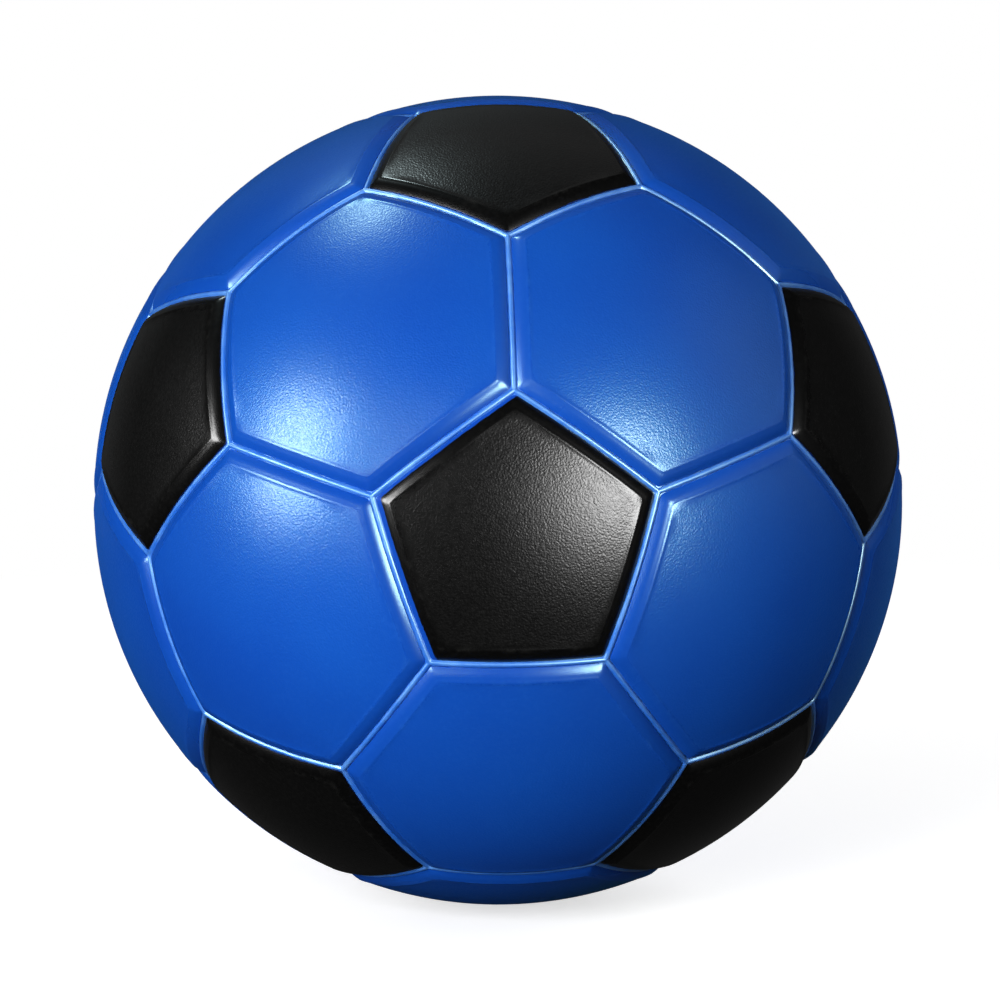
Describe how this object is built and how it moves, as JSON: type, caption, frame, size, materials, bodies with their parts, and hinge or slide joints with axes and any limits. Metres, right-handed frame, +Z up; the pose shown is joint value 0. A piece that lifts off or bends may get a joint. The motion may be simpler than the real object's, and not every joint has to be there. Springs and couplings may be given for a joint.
{
  "type": "playground rubber ball",
  "caption": "Inflatable rubber playground ball with a football pattern of raised black pentagon and blue hexagon panels and a needle valve.",
  "frame": {"origin": "centre of the ball", "axes": "+Z up; -Y runs through the middle of the front pentagon, which has one corner up; +X is to the right seen from the front"},
  "size_m": [0.22, 0.22, 0.22],
  "materials": {
    "blue_cover_rubber": "satin, finely pebbled",
    "black_cover_rubber": "satin, finely pebbled",
    "blue_carcass_rubber": "smooth satin",
    "nylon_thread": "wound thread set in cement",
    "butyl_rubber": "smooth matte",
    "valve_rubber": "smooth moulded",
    "plug_rubber": "smooth moulded, oiled"
  },
  "bodies": {
    "ball": {"bladder": "butyl_rubber", "carcass": "blue_carcass_rubber", "hexagon_front_bottom": "blue_cover_rubber", "hexagon_front_left": "blue_cover_rubber", "hexagon_front_right": "blue_cover_rubber", "hexagon_front_upper_left": "blue_cover_rubber", "hexagon_front_upper_right": "blue_cover_rubber", "hexagon_mid_front_bottom": "blue_cover_rubber", "hexagon_mid_front_left": "blue_cover_rubber", "hexagon_mid_front_right": "blue_cover_rubber", "hexagon_mid_front_upper_left": "blue_cover_rubber", "hexagon_mid_front_upper_right": "blue_cover_rubber", "hexagon_mid_rear_left": "blue_cover_rubber", "hexagon_mid_rear_lower_left": "blue_cover_rubber", "hexagon_mid_rear_lower_right": "blue_cover_rubber", "hexagon_mid_rear_right": "blue_cover_rubber", "hexagon_mid_rear_top": "blue_cover_rubber", "hexagon_rear_left": "blue_cover_rubber", "hexagon_rear_lower_left": "blue_cover_rubber", "hexagon_rear_lower_right": "blue_cover_rubber", "hexagon_rear_right": "blue_cover_rubber", "hexagon_rear_top": "blue_cover_rubber", "pentagon_front": "black_cover_rubber", "pentagon_front_left": "black_cover_rubber", "pentagon_front_lower_left": "black_cover_rubber", "pentagon_front_lower_right": "black_cover_rubber", "pentagon_front_right": "black_cover_rubber", "pentagon_front_top": "black_cover_rubber", "pentagon_rear": "black_cover_rubber", "pentagon_rear_bottom": "black_cover_rubber", "pentagon_rear_left": "black_cover_rubber", "pentagon_rear_right": "black_cover_rubber", "pentagon_rear_upper_left": "black_cover_rubber", "pentagon_rear_upper_right": "black_cover_rubber", "valve_housing": "valve_rubber", "winding": "nylon_thread"},
    "plug": {"valve_plug": "plug_rubber"}
  },
  "joints": [
    {"name": "valve_plug_pull", "type": "slide", "parent": "ball", "child": "plug", "axis": [-0.5774, 0.7947, 0.1876], "range_m": [0, 0.03]}
  ]
}
